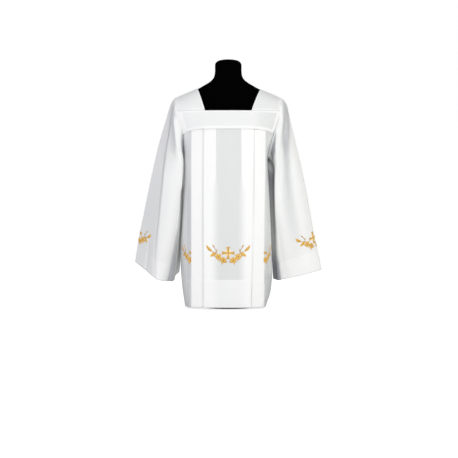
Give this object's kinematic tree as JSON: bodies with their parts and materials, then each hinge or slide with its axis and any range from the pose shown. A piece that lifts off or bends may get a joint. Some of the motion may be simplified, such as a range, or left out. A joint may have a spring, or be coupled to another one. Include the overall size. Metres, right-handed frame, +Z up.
{
  "type": "surplice on dress form",
  "caption": "White surplice with a square neckline, yoke band, double box pleats and wide sleeves, hanging on a black limbless dress form.",
  "frame": {"origin": "middle of the underside of the round foot, on the floor", "axes": "+Z up, -Y the garment's front, +X to the right of someone who faces the front"},
  "size_m": [0.7688, 0.3056, 1.008],
  "materials": {
    "white_cloth": "fine plain-weave cloth, matt with a faint sheen, gold satin-stitch embroidery",
    "black_jersey": "smooth matt jersey cover",
    "black_metal": "satin powder coat"
  },
  "bodies": {
    "root": {"front_panel": "white_cloth", "back_panel": "white_cloth", "front_band": "white_cloth", "back_band": "white_cloth", "strap_left": "white_cloth", "strap_right": "white_cloth", "sleeve_left": "white_cloth", "sleeve_right": "white_cloth", "form_torso": "black_jersey", "form_neck_cap": "black_jersey", "form_pole": "black_metal", "form_base": "black_metal"}
  },
  "joints": []
}
